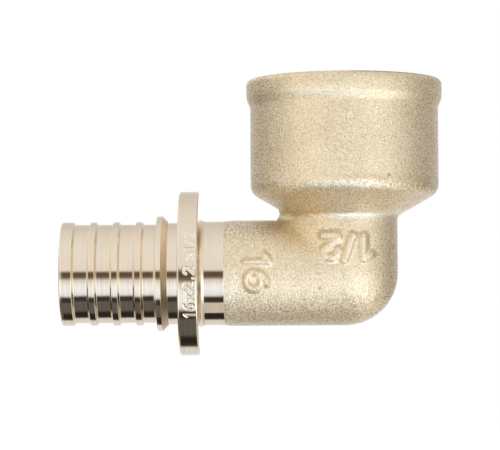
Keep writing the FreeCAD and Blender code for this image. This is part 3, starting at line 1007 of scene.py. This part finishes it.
def forged_brass(colours):
    """Blasted forged brass: a fine grain, partly painted glints, over faint stains, with painted shade and
    highlights in zones, in the crotch and on the raised figures.
    """
    material, bench = new_material("forged_brass")
    spot, (x, y, z) = bench.place()
    values = {"x": x, "z": z, "|x|": x.math("ABSOLUTE", x)}
    forged, forged_stain_and_shade = tuple(colours.forged), tuple(colours.forged_stain_and_shade)
    grain = bench.noise(spot, 4.6, 2.0, 0.6)
    fine = bench.noise(spot, 9.5, 1.0, 0.5)
    stain = bench.noise(spot, 0.22, 3.0, 0.6).rising(0.42, 0.78)
    # painted shade round the crotch: darker and warmer near its middle
    crotch = ((((x + 6.3) * 0.75) ** 2.0 + (z - 4.4) ** 2.0) ** 0.5).falling(0.5, 3.4)
    # random stains plus painted crotch shade; the zones below add more painted shade
    deep = stain * 0.4 + crotch * 0.06
    for share, windows in PAINTED_SHADE_ZONES:
        deep = deep + zone(values, windows) * share
    tint = bench.mixed(deep, forged, forged_stain_and_shade)
    tint = bench.mixed(crotch * 0.5, tint, PAINTED_CROTCH_SHADE)
    # painted highlights and painted shade in their zones
    for share, shade, windows in PAINTED_LIGHT_ZONES:
        tint = bench.mixed(zone(values, windows) * share, tint, shade or forged_stain_and_shade)
    # painted highlight on the raised figures' tops and downward slopes, painted shade on their upward slopes
    top, slope = (bench.node("ShaderNodeAttribute", {"attribute_name": name}, output="Fac")
                  for name in ("figure_top", "figure_slope"))
    tint = bench.mixed(top * 0.2 + slope.falling(-1.0, 0.0) * 0.3, tint, (1.0, 0.97, 0.88))
    tint = bench.mixed(slope.rising(0.0, 1.0) * 0.75, tint, (0.66, 0.47, 0.24))
    contrast = GRAIN_PLAIN
    for share, windows in GRAIN_AND_GLINT_ZONES:
        contrast = zone(values, windows) * share + contrast
    # the grain's dark and light specks: the blasted surface's own tone, and painted glints
    tint = bench.mixed(grain.falling(0.4, 0.52) * contrast, tint, times(forged, 0.6))
    tint = bench.mixed(grain.rising(0.48, 0.6) * contrast, tint, (1.0, 0.94, 0.8))
    share, shade, windows = RIM_LINE
    tint = bench.mixed(zone(values, windows) * share, tint, shade)
    for pit in DARK_SPECKS:
        away = bench.node("ShaderNodeVectorMath", {"operation": "DISTANCE"}, {0: spot, 1: pit}, "Value")
        tint = bench.mixed(away.falling(0.1, 0.3) * 0.7, tint, (0.28, 0.22, 0.13))
    bump = bench.node("ShaderNodeBump", None,
                      {"Strength": 1.0, "Distance": 0.00014, "Height": grain * 0.65 + fine * 0.35})
    bench.surface(tint, 0.85, 0.24 + grain * 0.1, Normal=bump)
    return material


EDGE = 0.01                   # mm on this side of an edge that still count as beyond it
FLOOR_DROP = 1.0              # mm under the socket's floor down to where the level bore's finish starts
PRESSED_SHARE = 0.4           # of the stamp's depth, from which a face counts as its bottom


def paint_body(piece, outer_count, colours, forged, turned, bores, marks):
    """Gives each face its finish: turned on the spigot, the mouth and the bores, forged elsewhere."""
    mesh = piece.data
    for material in (forged_brass(colours), turned_brass(colours, "x"), turned_brass(colours, "z"),
                     stamped_brass(colours)):
        mesh.materials.append(material)
    x, y, z = read(mesh.polygons, "center", np.float32, 3).T / MM
    outside = np.arange(len(x)) < outer_count
    slots = np.where(outside, 0, np.where(z > bores.upright_top - FLOOR_DROP, 2, 1))
    slots[outside & (x < EDGE - forged.arm_reach)] = 1
    slots[outside & (z > forged.socket_top - EDGE)] = 2
    field = (x > STAMP_MARGIN - turned.collar_front) & (x < -turned.collar_back - STAMP_MARGIN)
    pressed = np.hypot(y, z) < turned.collar_radius - PRESSED_SHARE * marks.stamp_depth
    slots[outside & field & pressed] = 3
    mesh.polygons.foreach_set("material_index", slots.astype(np.int32))


# ---------------------------------------------------------------- studio

# The surround's colours by the angle round the X axis: 0 is the camera's side, 90 up, -90 down, 180 behind.
BANDS = (
    (-180, (0.85, 0.82, 0.80)), (-150, (0.90, 0.89, 0.88)), (-132, (0.90, 0.90, 0.90)),
    (-125, (0.05, 0.045, 0.04)), (-112, (0.025, 0.022, 0.02)), (-104, (0.04, 0.037, 0.034)),
    (-98, (0.14, 0.14, 0.135)), (-72, (0.15, 0.15, 0.145)), (-67, (0.055, 0.048, 0.043)),
    (-58, (0.06, 0.05, 0.045)), (-52, (1.0, 1.06, 1.15)), (-47, (1.10, 1.20, 1.35)),
    (-35, (1.18, 1.31, 1.52)), (-28, (1.13, 1.24, 1.38)), (-21, (1.0, 1.03, 1.06)),
    (-17, (0.93, 0.90, 0.88)), (-11, (0.25, 0.19, 0.16)), (-7, (0.15, 0.11, 0.08)),
    (0, (0.13, 0.10, 0.08)), (6, (1.0, 0.99, 0.97)), (60, (0.98, 1.0, 1.01)),
    (85, (0.94, 0.93, 0.92)), (103, (0.88, 0.87, 0.84)), (120, (0.82, 0.79, 0.77)),
    (142, (0.73, 0.71, 0.70)), (163, (0.79, 0.75, 0.71)), (180, (0.85, 0.82, 0.80)),
)
LOW_FRONT = {"z": ((-0.9, -0.7), (-0.35, -0.1)), "y": (None, (-0.3, -0.1))}
LOW_BACK = {"z": (None, (-0.7, -0.5)), "y": ((0.1, 0.35), None), "|x|": (None, (0.4, 0.55))}
SCREEN = ((70, 96), (128, 158))
# What stands in front of the bands, in this order: a share, a colour, and windows on the direction's
# x, y and z, on the size of x or z, and on the angle to the side, from 0 at the camera to 180 behind.
PATCHES = (
    (1.0, (1.2, 1.1, 0.96), {"x": ((0.15, 0.45), None), "z": (None, (-0.55, -0.35))}),   # table, right
    (1.0, (1.1, 1.05, 0.95), {"|x|": ((0.24, 0.4), None), "|z|": (None, (0.15, 0.4)),
                              "y": (None, (-0.3, -0.1))}),                               # wall by the camera
    (1.0, (3.0, 3.3, 3.7), {"x": ((0.2, 0.36), (0.6, 0.8)), **LOW_FRONT}),               # window, right
    (1.0, (1.75, 1.77, 1.74), {"x": ((-0.9, -0.75), (-0.42, -0.26)), **LOW_FRONT}),      # window, left
    (1.0, (0.62, 0.46, 0.27), {"x": (None, (-0.28, -0.19)), **LOW_BACK}),                # wood behind, left
    (1.0, (0.78, 0.68, 0.53), {"x": ((0.1, 0.18), None), **LOW_BACK}),                   # wood behind, right
    (1.0, (1.2, 1.15, 1.03), {"x": (None, (-0.6, -0.4)), "z": ((0.12, 0.35), None)}),    # ceiling, left
    (0.85, (0.22, 0.19, 0.14), {"|x|": ((0.42, 0.58), None), "y": ((0.05, 0.3), None),
                                "z": ((-0.56, -0.42), (-0.2, -0.08))}),                  # dark shelf
    # dark screens, right and left
    (0.75, (0.32, 0.28, 0.21), {"side": SCREEN, "x": ((0.0, 0.1), None), "|z|": (None, (0.3, 0.65))}),
    (0.85, (0.2, 0.16, 0.12), {"side": SCREEN, "x": (None, (-0.1, 0.0)), "|z|": (None, (0.15, 0.4))}),
    (1.0, (1.15, 1.13, 1.15), {"x": ((0.015, 0.03), (0.12, 0.2)), "y": ((0.85, 0.95), None)}),   # backdrop
)

CARD_HEIGHT = -13.0           # mm: just under the arm, seen only by reflections
CARD_CORNERS = ((-19.2, -8.7), (1.0, -8.7), (1.0, -2.9), (-19.2, -2.9))      # mm: (x, y)
CAMERA_PLACE = (-2.901, -15.815)      # mm to the side and up
CAMERA_TURN = (3.399, 1.513, -0.279)  # degrees of pitch, yaw and roll


def stage_sheet(name, corners, height):
    """A flat stage piece from its corners (x, y) and one height in millimetres, with its bench."""
    points = np.array([(*corner, height) for corner in corners], float)
    piece = fill_mesh(name, points, *in_a_row(np.arange(len(corners))[None, :]))
    material, bench = new_material(name + "_paint")
    piece.data.materials.append(material)
    return piece, bench


def make_card():
    """A pale card under the arm, which only reflections see."""
    piece, bench = stage_sheet("card_under_arm", CARD_CORNERS, CARD_HEIGHT)
    bench.finish(bench.node("ShaderNodeEmission", None, {"Color": (0.76, 0.72, 0.66), "Strength": 1.0}))
    piece.visible_camera = False
    piece.visible_shadow = False


def make_floor(studio):
    """A wide pale floor that keeps the object's shadow. It is warm to the object, and clear from below."""
    half = studio.floor_size / 2
    corners = ((-half, -half), (half, -half), (half, half), (-half, half))
    piece, bench = stage_sheet("studio_floor", corners, -studio.floor_depth)
    matt = bench.node("ShaderNodeBsdfDiffuse", None, {"Color": (0.85, 0.85, 0.85)})
    glow = bench.node("ShaderNodeEmission", None, {"Color": (1.0, 1.0, 1.0), "Strength": 0.3})
    white = bench.node("ShaderNodeAddShader", None, {0: matt, 1: glow})
    warm = bench.node("ShaderNodeBsdfDiffuse", None, {"Color": (0.62, 0.5, 0.34)})
    camera = bench.node("ShaderNodeLightPath", output="Is Camera Ray")
    above = bench.node("ShaderNodeMixShader", None, {0: camera, 1: warm, 2: white})
    below = bench.node("ShaderNodeBsdfTransparent")
    side = bench.node("ShaderNodeNewGeometry", output="Backfacing")
    bench.finish(bench.node("ShaderNodeMixShader", None, {0: side, 1: above, 2: below}))
    piece.visible_glossy = False


def make_world(scene):
    """A white surround to the camera and to matt surfaces. Reflections see the bands and the patches."""
    world = bpy.data.worlds.new("studio_white")
    world.use_nodes = True
    scene.world = world
    bench = Bench(world.node_tree)
    camera, glossy = bench.node("ShaderNodeLightPath", output=("Is Camera Ray", "Is Glossy Ray"))
    way = bench.node("ShaderNodeTexCoord", output="Generated")
    x, y, z = bench.node("ShaderNodeSeparateXYZ", None, {0: way}, (0, 1, 2))
    values = {"x": x, "y": y, "z": z, "|x|": x.math("ABSOLUTE", x), "|z|": z.math("ABSOLUTE", z)}
    front = 0.0 - y
    values["side"] = x.math("ARCTAN2", values["|x|"], front) * math.degrees(1)
    round_x = x.math("ARCTAN2", z, front) * (1 / FULL_TURN) + 0.5
    stops = [((angle + 180) / 360, shade) for angle, shade in BANDS]
    seen = bench.node("ShaderNodeValToRGB", {"stops": stops}, {"Fac": round_x})
    for share, shade, windows in PATCHES:
        seen = bench.mixed(zone(values, windows) * share, seen, shade)
    back = bench.mixed(camera, bench.mixed(glossy, (1.0, 1.0, 1.0), seen), (1.0, 1.0, 1.0))
    shader = bench.node("ShaderNodeBackground", None, {"Color": back, "Strength": 1.0})
    bench.node("ShaderNodeOutputWorld", None, {"Surface": shader})


def make_camera(scene, studio):
    """The camera of the photograph: a long lens, nearly level."""
    data = bpy.data.cameras.new("studio_camera")
    data.sensor_width = 36.0
    data.sensor_fit = "HORIZONTAL"
    data.lens = studio.focal_length
    data.clip_start, data.clip_end = 0.01, 20.0
    camera = bpy.data.objects.new("studio_camera", data)
    scene.collection.objects.link(camera)
    side, rise = CAMERA_PLACE
    pitch, yaw, roll = (math.radians(angle) for angle in CAMERA_TURN)
    camera.location = (side * MM, -studio.distance * MM, rise * MM)
    level = Euler((math.pi / 2 + pitch, 0, yaw), "XYZ").to_matrix()
    camera.rotation_euler = (level @ Matrix.Rotation(roll, 3, "Z")).to_euler()
    scene.camera = camera


# ---------------------------------------------------------------- operators

def solid_sizes(scene):
    """The sizes of the forging, the spigot, the bores and the marks, in millimetres."""
    groups = (scene.forging_sizes, scene.spigot_sizes, scene.bore_sizes, scene.mark_sizes)
    return [in_mm(group) for group in groups]


class ELBOW_OT_body(bpy.types.Operator):
    """Build the forged and turned body, in place of the plain solid"""
    bl_idname = "elbow.body"
    bl_label = "Body"

    def execute(self, context):
        sizes = solid_sizes(context.scene)
        piece, outer_count = make_body(*sizes)
        paint_body(piece, outer_count, context.scene.finish_colours, *sizes)
        weighted(piece)
        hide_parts(NODE)
        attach(piece, BODY)
        return {"FINISHED"}


class ELBOW_OT_thread(bpy.types.Operator):
    """Cut the thread into the socket"""
    bl_idname = "elbow.thread"
    bl_label = "Thread"

    def execute(self, context):
        piece = make_thread(in_mm(context.scene.bore_sizes))
        piece.data.materials.append(turned_brass(context.scene.finish_colours, "z"))
        weighted(piece)
        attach(piece, BODY)
        return {"FINISHED"}


class ELBOW_OT_studio(bpy.types.Operator):
    """Set up the floor, the surround, the card under the arm and the camera"""
    bl_idname = "elbow.studio"
    bl_label = "Studio"

    def execute(self, context):
        scene = context.scene
        studio = in_mm(scene.studio_sizes)
        make_floor(studio)
        make_world(scene)
        make_camera(scene, studio)
        make_card()
        scene.view_settings.view_transform = "Standard"
        return {"FINISHED"}


class ELBOW_PT_panel(bpy.types.Panel):
    """Lists the elbow's sizes, colours and building steps"""
    bl_idname = "ELBOW_PT_panel"
    bl_label = "Sleeve elbow"
    bl_space_type = "VIEW_3D"
    bl_region_type = "UI"
    bl_category = "Sleeve elbow"

    def draw(self, context):
        for operator in OPERATORS:
            self.layout.operator(operator.bl_idname)
        for name, group in GROUPS.items():
            box = self.layout.box()
            box.label(text=name.replace("_", " ").capitalize())
            for field in group.__annotations__:
                box.prop(getattr(context.scene, name), field)


GROUPS = {
    "forging_sizes": ForgingSizes,
    "spigot_sizes": SpigotSizes,
    "bore_sizes": BoreSizes,
    "mark_sizes": MarkSizes,
    "finish_colours": FinishColours,
    "studio_sizes": StudioSizes,
}
OPERATORS = (ELBOW_OT_body, ELBOW_OT_thread, ELBOW_OT_studio)


def register():
    """Adds the groups, the operators and the panel."""
    for made in (*GROUPS.values(), *OPERATORS, ELBOW_PT_panel):
        bpy.utils.register_class(made)
    for name, group in GROUPS.items():
        setattr(bpy.types.Scene, name, PointerProperty(type=group))


def unregister():
    """Takes them out again."""
    for name in GROUPS:
        delattr(bpy.types.Scene, name)
    for made in (ELBOW_PT_panel, *reversed(OPERATORS), *reversed(GROUPS.values())):
        bpy.utils.unregister_class(made)


def main():
    """Builds the pieces and the studio."""
    register()
    bpy.ops.elbow.body()
    bpy.ops.elbow.thread()
    bpy.ops.elbow.studio()


if __name__ == "__main__":
    main()
